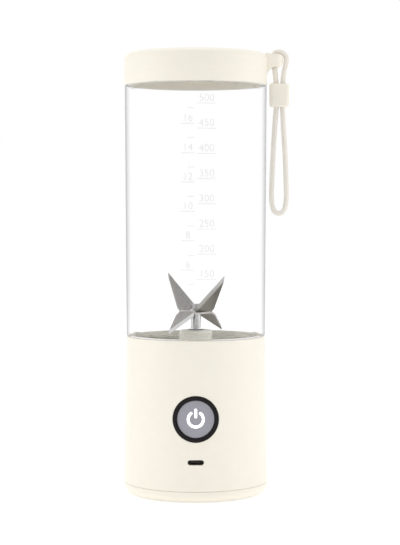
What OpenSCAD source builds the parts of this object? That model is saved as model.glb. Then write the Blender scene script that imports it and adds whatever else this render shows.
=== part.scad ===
// Portable cordless blender: screw-on jar, screw lid with a cord strap, base with
// motor, two cells, one push button and a charging port.
// Millimetres, +Z up, origin at the centre of the foot. The front (button) faces -Y
// and the strap lug points along +X.

/* [Base casing] */
// Outer radius where the base meets the jar
body_r = 37; // [36.5:0.5:48]
// How much wider the base is at its foot
foot_flare = 1.25; // [0:0.25:3]
// Height of the base, from the foot to its rim
base_h = 83.5; // [80:0.5:110]
// Wall of the base housing
base_wall = 2; // [1.6:0.1:2.6]
// Height of the bottom cover's edge
cover_h = 6; // [5:0.5:8]
// Rounding of the bottom edge
foot_round = 4; // [2:0.5:4.5]
// Thickness of the bottom cover's plate
cover_plate = 2; // [1.5:0.1:3]
// Radius of the foot pad
pad_r = 27.5; // [20:0.5:28]
// How far the foot pad stands proud
pad_proud = 0.5; // [0.3:0.1:1]

/* [Jar] */
// Height of the jar between its two shoulders
jar_h = 133.4; // [100:0.2:170]
// How much wider the jar is at its top
jar_flare = 1; // [0:0.25:2]
// Wall of the jar
jar_wall = 2.2; // [1.8:0.1:3]
// Wall of both threaded necks
neck_wall = 1.9; // [1.5:0.1:2.5]
// Length of the lower neck
lower_neck_h = 9.2; // [8.5:0.1:12]
// Length of the upper neck
upper_neck_h = 13.2; // [11:0.1:14]

/* [Lid] */
// Height of the lid
lid_h = 17.2; // [16:0.1:22]
// How much the lid stands out past the jar
lid_lip = 0.25; // [0:0.05:1]
// Wall of the lid's skirt
lid_wall = 1.5; // [1.2:0.1:2]
// Rounding of the lid's top edge
lid_round = 3.6; // [2:0.2:4]
// Reach of the strap lug past the lid
lug_reach = 8.65; // [8:0.05:10]
// Width of the strap lug
lug_w = 9; // [8:0.5:14]
// Thickness of the strap lug
lug_t = 7.3; // [5:0.1:9]
// Width of the slot in the lug
lug_slot = 3.6; // [3.2:0.1:4]
// Bar left outside the slot
lug_bar = 3.1; // [2.5:0.1:4]

/* [Threads] */
// Rise in one turn, the same for the jar and the lid
thread_lead = 16; // [12:1:20]
// Depth of a thread lug
thread_depth = 1.2; // [0.9:0.1:1.4]
// Height of a thread lug at its root
thread_band = 1.6; // [1.2:0.1:1.8]
// Room left round a thread lug
thread_gap = 0.3; // [0.2:0.05:0.4]
// Wall of the base's threaded collar
collar_wall = 1.4; // [1.2:0.1:2]
// Angle that one lug spans
lug_arc = 30; // [20:1:40]

/* [Seals] */
// Thickness of the jar gasket
gasket_t = 1.5; // [1:0.1:2]
// Thickness of the lid seal
seal_t = 1.5; // [1:0.1:2]

/* [Blade unit] */
// Radius of the blade hub's column
hub_r = 8.75; // [7.5:0.25:10]
// Height of the blade hub above the socket floor
hub_h = 13.6; // [13:0.1:18]
// Radius of the hub's flange
flange_r = 20; // [19:0.5:24]
// Thickness of the hub's flange
flange_t = 2.4; // [2:0.1:3]
// Diameter of the drive shaft
shaft_d = 3.6; // [3:0.1:4]
// Thickness of the blade sheet
blade_t = 1.1; // [0.8:0.1:1.4]
// Relief at each end of a blade's bend
relief = 0.5; // [0.3:0.1:0.8]
// Reach of the upper blade's tips
upper_reach = 25.4; // [20:0.2:27]
// Angle of the upper wings above level
upper_rise = 43; // [30:1:50]
// Reach of the lower blade's tips
lower_reach = 23; // [18:0.5:25]
// Angle of the lower wings below level
lower_drop = 34; // [20:1:36]

/* [Motor] */
// Outer radius of the motor can
motor_r = 14.5; // [13.5:0.1:14.8]
// Length of the motor can
motor_l = 38; // [32:1:42]
// Wall of the motor can
motor_wall = 1.2; // [1:0.1:1.5]

/* [Cells] */
// Diameter of a battery cell
cell_d = 18.2; // [17.8:0.1:18.4]
// Length of a battery cell
cell_l = 49.5; // [45:0.5:50]

/* [Button] */
// Height of the button's centre
button_z = 43.3; // [38:0.1:48]
// Radius of the dark ring round the button
bezel_r = 11.95; // [11:0.05:14]
// Radius of the button's disc
button_r = 9.65; // [8:0.05:10]
// How far the button travels
button_travel = 0.8; // [0.4:0.1:1]

/* [Charging port] */
// Height of the port's centre
port_z = 21.1; // [19:0.1:24]
// Width of the receptacle's shell
port_w = 8.94; // [8.9:0.01:9]
// Height of the receptacle's shell
port_h = 3.26; // [3.2:0.01:3.3]
// Depth of the receptacle
port_l = 7.3; // [6.5:0.1:8]

/* [Strap] */
// Diameter of the strap cord
cord_d = 2.8; // [2.4:0.1:3]
// Width of the slider
slider_w = 10.6; // [9.5:0.1:12]
// Height of the slider
slider_h = 12.6; // [10:0.2:16]
// Depth of the slider
slider_d = 6.6; // [5:0.2:8]

/* [Clearances] */
// Gap between the casings that move apart
part_gap = 0.2; // [0.15:0.05:0.3]
// Gap round pieces that are fitted together
fit_gap = 0.1; // [0.05:0.01:0.15]
// Radial gap of a running shaft
run_gap = 0.05; // [0.02:0.01:0.08]

/* [Hidden] */
$fn = 64;

// Colours
cream = [0.95, 0.93, 0.87];
beige = [0.80, 0.77, 0.72];
steel = [0.66, 0.66, 0.67];
copper = [0.72, 0.45, 0.25];
board_green = [0.10, 0.36, 0.22];
near_black = [0.10, 0.10, 0.11];

// Base casing, from the foot up
foot_r = body_r + foot_flare;
cover_z = pad_proud;
cover_top = cover_z + cover_plate;
seam_z = cover_h + fit_gap;
inner_r = body_r - base_wall;
lip_h = 3;
lip_t = 1.2;
cover_screw_r = 31;
cover_screw_angles = [55, 125, 235, 305];
screw_r = 1.2;
screw_head_r = 2.2;
screw_head_h = 1.3;
boss_r = 3;
boss_h = 14;

// Jar and its socket
jar_z = base_h + part_gap;
jar_top = jar_z + jar_h;
jar_top_r = body_r + jar_flare;
socket_r = inner_r - fit_gap;
collar_r = socket_r - collar_wall;
neck_r = collar_r - thread_depth - thread_gap;
neck_z = jar_z - lower_neck_h;
floor_z = neck_z - gasket_t - 2 * fit_gap;
floor_t = 2.5;
floor_under = floor_z - floor_t;
rim_drop = 0.3;

// Lid
lid_z = jar_top + part_gap;
lid_r = jar_top_r + lid_lip;
lid_top = lid_z + lid_h;
lid_inner_r = lid_r - lid_wall;
top_neck_r = lid_inner_r - thread_depth - thread_gap;
top_neck_z = jar_top + upper_neck_h;
ceiling_z = top_neck_z + seal_t + 2 * fit_gap;
lug_round = 5;

// Threads: four starts, male lugs and female lugs half a pitch apart
thread_starts = 4;
pitch = thread_lead / thread_starts;
crest_share = 0.55;
lug_bite = 0.5;
engage_angle = 20;
female_rim = 2.9;
socket_female_angle = 34;
socket_female_z = base_h - female_rim;
socket_male_z = socket_female_z - pitch / 2 - thread_lead * engage_angle / 360;
lid_male_z = jar_top + 8.5;
lid_female_z = lid_male_z - pitch / 2 - thread_lead * engage_angle / 360;

// Blade unit and motor
shaft_r = shaft_d / 2;
hub_bore_r = 4.5;
hub_top = floor_z + hub_h;
bearing_h = 3.6;
seal_h = 1.6;
hub_screw_r = 17.4;
hub_screw_grip = 1.8;
motor_screw_r = 8.5;
lower_blade_z = hub_top + 8.6;
upper_blade_z = lower_blade_z + blade_t;
washer_t = 0.6;
nut_z = upper_blade_z + blade_t + washer_t;
nut_h = 2.4;
nut_r = 3.4;
shaft_top = nut_z + nut_h - 0.4;
upper_angle = 128;
upper_fold = 4.6;
lower_angle = 230.5;
lower_fold = 8;
motor_top = floor_under - fit_gap;
motor_bottom = motor_top - motor_l;
bell_h = 6;
shaft_bottom = motor_bottom - 1.5;
core_r = 10.4;
core_z = motor_bottom + 13;
core_h = 16;
commutator_z = motor_bottom + bell_h + 0.6;

// Cells, boards and button, from the front wall back
cell_r = cell_d / 2;
cup_t = 0.8;
cell_x = inner_r - cup_t - cell_r - 2 * fit_gap;
cradle_z = cover_h + lip_h + 0.4;
cradle_t = 1;
cell_z = cradle_z + cradle_t + 0.5;
board_t = 1.6;
board_y = 11.5 - body_r;
board_back = board_y + board_t;
board_w = 40;
board_z = 26;
board_h = 36;
rail_w = 3;
rail_deep = 14;
charge_w = 16;
charge_t = 1;
charge_z = port_z - port_h / 2 - charge_t;
post_x = 5.5;
post_y = 13 - body_r;
post_r = 1.8;
post_hole_r = 0.8;
button_back = 4.7 - body_r;
button_proud = 0.3;
button_recess = 0.35;
button_flange_t = 1.2;
snap_r = bezel_r + 1.3;
switch_w = 6;
switch_front = board_y - 2.6;
plunger_r = 1.7;
plunger_front = switch_front - 1.1;
port_front = -body_r - 0.4;

// Strap: the hinge that it swings from, and its route as points [x, z] at y = 0
strap_pivot_z = 225.2;
strap_pivot_x = 44.9;
arch_foot_z = 226.8;
cord_sides = 8;
loop_inner = [
    [42.5, 225.2], [42.9, 221], [43.1, 217], [43.2, 212], [43.2, 206], [42.6, 198],
    [41.9, 188], [41.4, 179], [40.9, 168], [40.6, 158], [41.0, 153]
];
loop_turn = [[42.3, 149.8], [44.6, 148.7], [46.9, 149.8]];
loop_outer = [
    [48.2, 153], [48.6, 158], [48.4, 168], [48.0, 179], [47.5, 188], [46.9, 198],
    [46.6, 206], [46.6, 212], [46.7, 217], [47.0, 221], [47.6, 225.2]
];
arch_route = [
    [48.1, 226.8], [48.7, 230.5], [48.3, 233.1], [46.8, 234.9], [45.1, 235.4],
    [43.0, 235.3], [42.0, 233.9], [42.0, 231], [42.2, 226.8]
];

// ---- shared shapes ----

// Outer radius of the tapered base at a height
function base_r(z) = foot_r + (body_r - foot_r) * (z - seam_z) / (base_h - seam_z);

// The base's outer cone, grown or shrunk
module base_cone(grow) {
    translate([0, 0, seam_z])
        cylinder(r1 = foot_r + grow, r2 = body_r + grow, h = base_h - seam_z);
}

// A flat ring standing on z = 0
module ring(r_out, r_in, h) {
    difference() {
        cylinder(r = r_out, h = h);
        translate([0, 0, -1]) cylinder(r = r_in, h = h + 2);
    }
}

// Turns a shape drawn along +Z so that it points out of the front at a height
module on_front(z) {
    translate([0, 0, z]) rotate([90, 0, 0]) children();
}

// Copies a shape to each angle at a radius
module around(radius, angles) {
    for (a = angles) rotate([0, 0, a]) translate([radius, 0, 0]) children();
}

// One thread lug: a tilted arc of a trapezoid, rooted in the wall at root_r
module thread_lug(root_r, outward) {
    side = outward ? 1 : -1;
    crest = thread_band * crest_share / 2;
    band = thread_band / 2;
    tilt = atan(thread_lead / (2 * PI * root_r));
    rotate([tilt, 0, 0]) rotate([0, 0, -lug_arc / 2]) rotate_extrude(angle = lug_arc)
        polygon([
            [root_r - side * lug_bite, -band],
            [root_r + side * thread_depth, -crest],
            [root_r + side * thread_depth, crest],
            [root_r - side * lug_bite, band]
        ]);
}

// The four lugs of a thread
module thread_lugs(root_r, z, first_angle, outward) {
    for (i = [0:thread_starts - 1])
        translate([0, 0, z]) rotate([0, 0, first_angle + i * 360 / thread_starts])
            thread_lug(root_r, outward);
}

// A rod between two points
module rod(p, q, r) {
    d = q - p;
    len = norm(d);
    translate(p) rotate([0, acos(d[2] / len), atan2(d[1], d[0])])
        cylinder(r = r, h = len, $fn = 24);
}

// A lead through a list of points, rounded at its bends
module lead(points, r) {
    for (i = [0:len(points) - 2]) rod(points[i], points[i + 1], r);
    for (i = [1:len(points) - 2]) translate(points[i]) sphere(r = r, $fn = 24);
}

// A slot with round ends, long in X, drawn along +Z
module stadium(w, h, depth) {
    translate([-(w - h) / 2, -h / 2, 0]) cube([w - h, h, depth]);
    for (s = [-1, 1]) translate([s * (w - h) / 2, 0, 0]) cylinder(r = h / 2, h = depth);
}

// ---- base casing ----

module foot_pad() {
    color(near_black) cylinder(r = pad_r, h = cover_z + 0.7);
}

module base_cover() {
    color(cream) difference() {
        union() {
            rotate_extrude() difference() {
                union() {
                    translate([0, cover_z + foot_round])
                        square([foot_r, cover_h - cover_z - foot_round]);
                    translate([0, cover_z]) square([foot_r - foot_round, foot_round + 0.01]);
                    intersection() {
                        translate([foot_r - foot_round, cover_z + foot_round])
                            circle(r = foot_round);
                        translate([0, cover_z]) square([foot_r, foot_round + 0.01]);
                    }
                }
                translate([0, cover_top]) square([foot_r - base_wall - lip_t, cover_h]);
            }
            translate([0, 0, cover_h - 1])
                ring(inner_r - fit_gap, inner_r - fit_gap - lip_t, lip_h + 1);
            around(cover_screw_r, cover_screw_angles)
                translate([0, 0, cover_z]) cylinder(r = boss_r + 0.4, h = cover_h - cover_z);
            for (s = [-1, 1]) translate([s * post_x, post_y, cover_top - 0.5])
                cylinder(r = post_r, h = charge_z - cover_top + 0.5 - fit_gap);
        }
        translate([0, 0, -1]) cylinder(r = pad_r + fit_gap, h = cover_z + 0.7 + fit_gap + 1);
        around(cover_screw_r, cover_screw_angles) {
            translate([0, 0, -1]) cylinder(r = screw_r + fit_gap, h = cover_h + 2);
            translate([0, 0, -1]) cylinder(r = screw_head_r + fit_gap, h = 3.2);
        }
        for (s = [-1, 1]) translate([s * post_x, post_y, charge_z - 7])
            cylinder(r = post_hole_r, h = 8);
    }
}

// A pan-head screw: the head's underside at z = 0, its shank along +Z
module screw(shank_r, length) {
    translate([0, 0, -screw_head_h]) difference() {
        cylinder(r = screw_head_r, h = screw_head_h);
        for (a = [0, 90]) rotate([0, 0, a])
            translate([-1.1, -0.25, -1]) cube([2.2, 0.5, 1.6]);
    }
    translate([0, 0, -0.01]) cylinder(r = shank_r, h = length);
}

module cover_screws() {
    color(steel) around(cover_screw_r, cover_screw_angles)
        translate([0, 0, 2.2]) screw(screw_r - fit_gap, 12);
}

module base_housing() {
    color(cream) difference() {
        union() {
            difference() {
                base_cone(0);
                translate([0, 0, seam_z]) translate([0, 0, -0.01])
                    cylinder(r1 = foot_r - base_wall, r2 = inner_r, h = base_h - seam_z + 0.02);
            }
            intersection() {
                base_cone(-0.5);
                union() {
                    around(cover_screw_r, cover_screw_angles)
                        translate([0, 0, seam_z]) cylinder(r = boss_r, h = boss_h);
                    around(cover_screw_r + 2.5, cover_screw_angles)
                        translate([0, -boss_r + 0.8, seam_z + lip_h + 0.3])
                            cube([4, 2 * boss_r - 1.6, boss_h - lip_h - 0.3]);
                    for (s = [-1, 1])
                        translate([s * (board_w / 2 + 0.8) - rail_w / 2, board_back + 2 - rail_deep, 23])
                            cube([rail_w, rail_deep, board_z + board_h - 23]);
                }
            }
        }
        translate([0, 0, seam_z - 1])
            ring(inner_r - fit_gap + 0.15, inner_r - lip_t - 2 * fit_gap - 0.1, lip_h + 1.1);
        around(cover_screw_r, cover_screw_angles)
            translate([0, 0, seam_z - 1]) cylinder(r = screw_r, h = 10);
        for (s = [-1, 1]) translate([s * (board_w / 2), board_y - fit_gap, board_z - fit_gap])
            translate([-1.2, 0, 0]) cube([2.4, board_t + 2 * fit_gap, board_h + 1]);
        on_front(button_z) cylinder(r = bezel_r + fit_gap / 2, h = foot_r + 5);
        on_front(port_z) translate([0, 0, foot_r - 10])
            stadium(port_w + 2 * fit_gap, port_h + 2 * fit_gap, 15);
    }
}

module jar_socket() {
    color(beige) union() {
        difference() {
            translate([0, 0, floor_under]) cylinder(r = socket_r, h = floor_t);
            translate([0, 0, floor_under - 1]) cylinder(r = shaft_r + 1.2, h = floor_t + 2);
            around(hub_screw_r, [30, 150, 270])
                translate([0, 0, floor_under - 1]) cylinder(r = screw_r + fit_gap, h = floor_t + 2);
            around(motor_screw_r, [0, 180]) {
                translate([0, 0, floor_under - 1]) cylinder(r = screw_r + fit_gap, h = floor_t + 2);
                translate([0, 0, floor_z - screw_head_h - fit_gap])
                    cylinder(r = screw_head_r + fit_gap, h = 3);
            }
        }
        translate([0, 0, floor_under])
            ring(socket_r, collar_r, base_h - rim_drop - floor_under);
        thread_lugs(collar_r, socket_female_z, socket_female_angle, false);
    }
}

// ---- blade hub and its bearings ----

module blade_hub() {
    color(beige) difference() {
        rotate_extrude() difference() {
            union() {
                square([flange_r, flange_t]);
                square([hub_r + 3, flange_t + 3]);
                square([hub_r, hub_h - 1.5]);
                square([hub_r - 1.5, hub_h]);
                translate([hub_r - 1.5, hub_h - 1.5]) circle(r = 1.5);
            }
            translate([hub_r + 3, flange_t + 3]) circle(r = 3);
            square([hub_bore_r, hub_h + 2]);
        }
        around(hub_screw_r, [30, 150, 270])
            translate([0, 0, -1]) cylinder(r = screw_r, h = 1 + hub_screw_grip);
    }
}

module placed_blade_hub() {
    translate([0, 0, floor_z + fit_gap / 2]) blade_hub();
}

module hub_screws() {
    color(steel) around(hub_screw_r, [30, 150, 270])
        translate([0, 0, floor_under]) screw(screw_r - fit_gap, floor_t + hub_screw_grip - 0.2);
}

module lower_bearing() {
    color(copper) translate([0, 0, floor_z + 1])
        ring(hub_bore_r - fit_gap / 4, shaft_r + run_gap, bearing_h);
}

module upper_bearing() {
    color(copper) translate([0, 0, hub_top - seal_h - bearing_h - 0.4])
        ring(hub_bore_r - fit_gap / 4, shaft_r + run_gap, bearing_h);
}

module shaft_seal() {
    color(near_black) translate([0, 0, hub_top - seal_h])
        ring(hub_bore_r - fit_gap / 4, shaft_r + run_gap, seal_h);
}

// ---- motor ----

module motor_can() {
    color(steel) difference() {
        translate([0, 0, motor_bottom + bell_h]) cylinder(r = motor_r, h = motor_l - bell_h);
        translate([0, 0, motor_bottom])
            cylinder(r = motor_r - motor_wall, h = motor_l - motor_wall - 1);
        translate([0, 0, motor_top - 4]) cylinder(r = 4.1, h = 5);
        around(motor_screw_r, [0, 180])
            translate([0, 0, motor_top - 4]) cylinder(r = screw_r, h = 5);
    }
}

module motor_end_bell() {
    color(near_black) difference() {
        union() {
            translate([0, 0, motor_bottom]) cylinder(r = motor_r, h = bell_h - fit_gap);
            translate([0, 0, motor_bottom])
                cylinder(r = motor_r - motor_wall - fit_gap, h = bell_h + 2);
        }
        translate([0, 0, motor_bottom + 2]) cylinder(r = motor_r - motor_wall - 1.6, h = 10);
        translate([0, 0, motor_bottom - 1]) cylinder(r = 3.6, h = 5);
        for (s = [-1, 1]) translate([s * 7, -9, motor_bottom - 1]) cylinder(r = 0.9, h = 5);
    }
}

module motor_magnets() {
    color([0.25, 0.25, 0.27]) for (a = [0, 180])
        translate([0, 0, core_z - 1]) rotate([0, 0, a - 60]) rotate_extrude(angle = 120)
            translate([core_r + 0.5, 0])
                square([motor_r - motor_wall - core_r - 0.5 - fit_gap, core_h + 2]);
}

module motor_brushes() {
    color([0.2, 0.2, 0.2]) for (a = [0, 180]) rotate([0, 0, a])
        translate([3.9, -1.5, commutator_z + 0.6]) cube([7.4, 3, 3]);
}

module motor_front_bush() {
    color(copper) translate([0, 0, motor_top - motor_wall - 1])
        ring(4.1 - fit_gap / 4, shaft_r + run_gap, motor_wall + 1);
}

module motor_rear_bush() {
    color(copper) translate([0, 0, motor_bottom - 0.2])
        ring(3.6 - fit_gap / 4, shaft_r + run_gap, 2.2);
}

module motor_screws() {
    color(steel) around(motor_screw_r, [0, 180])
        translate([0, 0, floor_z - fit_gap]) rotate([180, 0, 0]) translate([0, 0, screw_head_h])
            screw(screw_r - fit_gap, floor_t + 1.4 - screw_head_h);
}

module motor_leads() {
    color([0.75, 0.12, 0.10]) for (s = [-1, 1])
        lead([
            [s * 7, board_back + 0.1, board_z + 6],
            [s * 7, -19, board_z + 6],
            [s * 7, -19, motor_bottom - 2.5],
            [s * 7, -9, motor_bottom - 2.5],
            [s * 7, -9, motor_bottom + 1.5]
        ], 0.7);
}

// ---- rotor ----

module drive_shaft() {
    color(steel) translate([0, 0, shaft_bottom])
        cylinder(r = shaft_r, h = shaft_top - shaft_bottom);
}

module armature_core() {
    color(steel) translate([0, 0, core_z]) difference() {
        ring(core_r, shaft_r, core_h);
        for (a = [0:72:288]) rotate([0, 0, a]) {
            translate([core_r - 2, -0.8, -1]) cube([4, 1.6, core_h + 2]);
            translate([core_r - 3.6, 0, -1]) cylinder(r = 2, h = core_h + 2, $fn = 32);
        }
    }
}

module armature_windings() {
    color(copper) translate([0, 0, core_z]) for (z = [-2.6, core_h + 0.05])
        translate([0, 0, z]) ring(core_r - 1.2, shaft_r + 0.8, 2.55);
}

module commutator() {
    color(copper) translate([0, 0, commutator_z]) difference() {
        ring(3.8, shaft_r, 3.8);
        for (a = [0:60:300]) rotate([0, 0, a]) translate([3, -0.15, -1]) cube([2, 0.3, 6]);
    }
}

module blade_spacer() {
    color(steel) translate([0, 0, hub_top + 1])
        ring(shaft_r + 0.9, shaft_r, lower_blade_z - hub_top - 1);
}

// One wing of a blade, folded up along x = fold, and relieved where it bends
module blade_wing(fold, reach, front, back, angle) {
    run = (reach - fold) / cos(angle);
    translate([fold, 0, 0]) rotate([0, -angle, 0]) linear_extrude(blade_t)
        polygon([
            [0, front - relief],
            [0, relief - back],
            [2.6, -back],
            [run, 0],
            [2.2, front]
        ]);
}

// A blade: a flat middle with a hole for the shaft, and two wings folded up
module blade(fold, reach, front, back, angle) {
    difference() {
        union() {
            linear_extrude(blade_t)
                polygon([[fold, front], [fold, -back], [-fold, -front], [-fold, back]]);
            for (a = [0, 180]) rotate([0, 0, a]) blade_wing(fold, reach, front, back, angle);
        }
        translate([0, 0, -5]) cylinder(r = shaft_r, h = 12);
    }
}

module lower_blade() {
    color(steel) translate([0, 0, upper_blade_z]) mirror([0, 0, 1]) rotate([0, 0, lower_angle])
        blade(lower_fold, lower_reach, 5.9, 5.3, lower_drop);
}

module upper_blade() {
    color(steel) translate([0, 0, upper_blade_z]) rotate([0, 0, upper_angle])
        blade(upper_fold, upper_reach, 7.6, 4.6, upper_rise);
}

module blade_washer() {
    color(steel) translate([0, 0, upper_blade_z + blade_t]) ring(nut_r + 0.3, shaft_r, washer_t);
}

module blade_nut() {
    color(steel) translate([0, 0, nut_z]) difference() {
        cylinder(r = nut_r, h = nut_h, $fn = 6);
        translate([0, 0, -1]) cylinder(r = shaft_r, h = nut_h + 2);
    }
}

// ---- cells and boards ----

module battery_cells() {
    color([0.16, 0.36, 0.62]) for (s = [-1, 1]) translate([s * cell_x, 0, cell_z]) {
        cylinder(r = cell_r, h = cell_l);
        translate([0, 0, cell_l - 0.01]) cylinder(r = 3, h = 0.6);
    }
}

module battery_cradle() {
    color(near_black) {
        difference() {
            union() {
                for (s = [-1, 1]) translate([s * cell_x, 0, cradle_z])
                    cylinder(r = cell_r + fit_gap + cup_t, h = cradle_t + 8);
                translate([-cell_x, -5, cradle_z]) cube([2 * cell_x, 10, cradle_t]);
            }
            for (s = [-1, 1]) translate([s * cell_x, 0, cradle_z + cradle_t])
                cylinder(r = cell_r + fit_gap, h = 12);
            translate([-cell_x, -3, cradle_z + cradle_t]) cube([2 * cell_x, 6, 1]);
        }
        for (s = [-1, 1], y = [-4, 4]) translate([s * cell_x, y, cover_top + 0.02])
            cylinder(r = 1.8, h = cradle_z - cover_top);
    }
}

module battery_tabs() {
    color(steel) {
        translate([-cell_x, -2.5, cell_z - 0.3]) cube([2 * cell_x, 5, 0.25]);
        for (s = [-1, 1]) translate([s * cell_x - 3, -9, cell_z + cell_l + 0.6]) cube([6, 12, 0.25]);
    }
}

module battery_leads() {
    color([0.12, 0.12, 0.13]) for (s = [-1, 1])
        lead([
            [s * cell_x, -8, cell_z + cell_l + 0.85],
            [s * cell_x, -8, cell_z + cell_l + 3],
            [s * 15, -8, cell_z + cell_l + 3],
            [s * 15, board_back + 2.2, cell_z + cell_l + 3],
            [s * 15, board_back + 2.2, board_z + board_h - 6],
            [s * 15, board_back + 0.1, board_z + board_h - 6]
        ], 0.7);
}

module main_board() {
    color(board_green) translate([-board_w / 2, board_y, board_z])
        cube([board_w, board_t, board_h]);
}

module board_components() {
    color(near_black) {
        for (c = [[-13, 30, 5, 5], [13, 31, 7, 4], [-13, 54, 4, 6], [12, 55, 6, 6]])
            translate([c[0] - c[2] / 2, board_y - 1.2, c[1]]) cube([c[2], 1.2, c[3]]);
        for (x = [-12, 12]) translate([x, board_back, 44]) rotate([-90, 0, 0])
            cylinder(r = 3, h = 4);
        translate([-3, port_front + port_l + 2, charge_z + charge_t]) cube([6, 4, 1.2]);
    }
}

module tact_switch() {
    color(steel) difference() {
        translate([-switch_w / 2, switch_front, button_z - switch_w / 2])
            cube([switch_w, board_y - switch_front, switch_w]);
        translate([0, 0, button_z]) translate([0, switch_front - 1, 0]) rotate([-90, 0, 0])
            cylinder(r = plunger_r + fit_gap, h = 2.8);
    }
}

module status_lights() {
    color("white") translate([0, board_y - 0.8, button_z]) for (a = [45:90:315])
        rotate([0, a, 0]) translate([6.5, 0, 0]) cube([1.6, 0.8, 1.6]);
}

module charge_board() {
    color(board_green) difference() {
        translate([-charge_w / 2, 3 - body_r, charge_z]) cube([charge_w, 14, charge_t]);
        for (s = [-1, 1]) translate([s * post_x, post_y, charge_z - 1])
            cylinder(r = 1, h = charge_t + 2);
    }
}

module usb_receptacle() {
    color([0.5, 0.5, 0.52]) translate([0, port_front, port_z]) rotate([-90, 0, 0]) {
        difference() {
            stadium(port_w, port_h, port_l);
            translate([0, 0, -1]) stadium(port_w - 0.6, port_h - 0.6, port_l - 0.2);
        }
        translate([-3.3, -0.35, 0.7]) cube([6.6, 0.7, port_l - 0.9]);
    }
}

module board_screws() {
    color(steel) for (s = [-1, 1]) translate([s * post_x, post_y, charge_z + charge_t])
        rotate([180, 0, 0]) difference() {
            union() {
                translate([0, 0, -1]) cylinder(r = 1.6, h = 1);
                cylinder(r = post_hole_r - 0.02, h = 6);
            }
            translate([-1, -0.2, -1.5]) cube([2, 0.4, 1]);
        }
}

// ---- button ----

module button_bezel() {
    color(near_black) difference() {
        intersection() {
            base_cone(button_proud);
            union() {
                on_front(button_z) cylinder(r = bezel_r, h = foot_r + 5);
                intersection() {
                    base_cone(-base_wall - fit_gap);
                    on_front(button_z) cylinder(r = snap_r, h = foot_r + 5);
                }
            }
        }
        on_front(button_z) cylinder(r = button_r + fit_gap, h = foot_r + 5);
        translate([-20, button_back, button_z - 20]) cube([40, 60, 40]);
    }
}

module power_button() {
    flange_y = button_back + fit_gap;
    color([0.66, 0.66, 0.70]) {
        difference() {
            intersection() {
                base_cone(-button_recess);
                on_front(button_z) cylinder(r = button_r, h = foot_r + 5);
            }
            translate([-20, flange_y, button_z - 20]) cube([40, 60, 40]);
        }
        translate([0, flange_y, button_z]) rotate([-90, 0, 0]) {
            cylinder(r = button_r + 0.9, h = button_flange_t);
            cylinder(r = 2, h = plunger_front - flange_y);
        }
    }
}

module switch_plunger() {
    color([0.85, 0.85, 0.8]) translate([0, plunger_front, button_z]) rotate([-90, 0, 0])
        cylinder(r = plunger_r, h = 2);
}

// ---- jar, lid and their seals ----

module jar_gasket() {
    color([0.88, 0.88, 0.85]) translate([0, 0, floor_z + fit_gap])
        ring(neck_r, neck_r - neck_wall - 0.3, gasket_t);
}

module jar() {
    lower_in = neck_r - neck_wall;
    upper_in = top_neck_r - neck_wall;
    shoulder_t = 0.6;
    shoulder_h = jar_wall + 1;
    color([0.85, 0.90, 0.93, 0.4]) {
        rotate_extrude() polygon([
            [lower_in, neck_z],
            [neck_r, neck_z],
            [neck_r, jar_z],
            [body_r, jar_z],
            [jar_top_r, jar_top],
            [top_neck_r, jar_top],
            [top_neck_r, top_neck_z],
            [upper_in, top_neck_z],
            [upper_in, jar_top - shoulder_t],
            [jar_top_r - jar_wall, jar_top - shoulder_h],
            [body_r - jar_wall, jar_z + shoulder_h],
            [lower_in, jar_z + shoulder_t]
        ]);
        thread_lugs(neck_r, socket_male_z, socket_female_angle - engage_angle, true);
        thread_lugs(top_neck_r, lid_male_z, engage_angle, true);
    }
}

module lid_seal() {
    color([0.88, 0.88, 0.85]) translate([0, 0, top_neck_z + fit_gap])
        ring(top_neck_r + 0.4, top_neck_r - neck_wall - 0.5, seal_t);
}

// The strap lug, drawn as a side outline and a plan outline that meet
module strap_lug() {
    tip = lid_r + lug_reach;
    under = lid_top - lug_t;
    drop = 0.6;
    tip_round = 2.4;
    difference() {
        intersection() {
            translate([0, lug_w / 2, 0]) rotate([90, 0, 0]) linear_extrude(lug_w) union() {
                difference() {
                    polygon([
                        [lid_inner_r + 0.4, lid_top - 0.2],
                        [lid_r, lid_top - 0.2],
                        [tip - tip_round, lid_top - drop],
                        [tip - tip_round, under],
                        [lid_r + lug_round, under],
                        [lid_r + lug_round, under - lug_round],
                        [lid_inner_r + 0.4, under - lug_round]
                    ]);
                    translate([lid_r + lug_round, under - lug_round]) circle(r = lug_round);
                }
                translate([tip - tip_round, lid_top - drop - tip_round]) circle(r = tip_round);
                translate([tip - tip_round, under + tip_round]) circle(r = tip_round);
                translate([tip - tip_round, under + tip_round])
                    square([tip_round, lug_t - drop - 2 * tip_round]);
            }
            union() {
                translate([lid_inner_r, -lug_w / 2, 0])
                    cube([tip - lug_w / 2 - lid_inner_r, lug_w, lid_top]);
                translate([tip - lug_w / 2, 0, 0]) cylinder(r = lug_w / 2, h = lid_top);
            }
        }
        translate([tip - lug_bar - lug_slot / 2, 0, under - lug_round]) rotate([0, 0, 90])
            stadium(lug_slot + 1.2, lug_slot, lug_t + lug_round + 2);
    }
}

module lid() {
    color(cream) {
        difference() {
            rotate_extrude() union() {
                translate([0, lid_z]) square([lid_r, lid_h - lid_round]);
                translate([0, lid_z]) square([lid_r - lid_round, lid_h]);
                translate([lid_r - lid_round, lid_top - lid_round]) circle(r = lid_round);
            }
            translate([0, 0, lid_z - 1]) cylinder(r = lid_inner_r, h = ceiling_z - lid_z + 1);
        }
        thread_lugs(lid_inner_r, lid_female_z, 0, false);
        strap_lug();
    }
}

// ---- strap ----

// Direction of a route at a point
function along(path, i) =
    let (a = path[max(i - 1, 0)], b = path[min(i + 1, len(path) - 1)])
    (b - a) / norm(b - a);

// One ring of a round tube that follows a route in the plane y = 0
function tube_ring(path, i, r) =
    let (t = along(path, i))
    [for (k = [0:cord_sides - 1])
        let (a = k * 360 / cord_sides, u = r * cos(a), v = r * sin(a))
        [path[i][0] - t[1] * u, v, path[i][1] + t[0] * u]];

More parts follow.
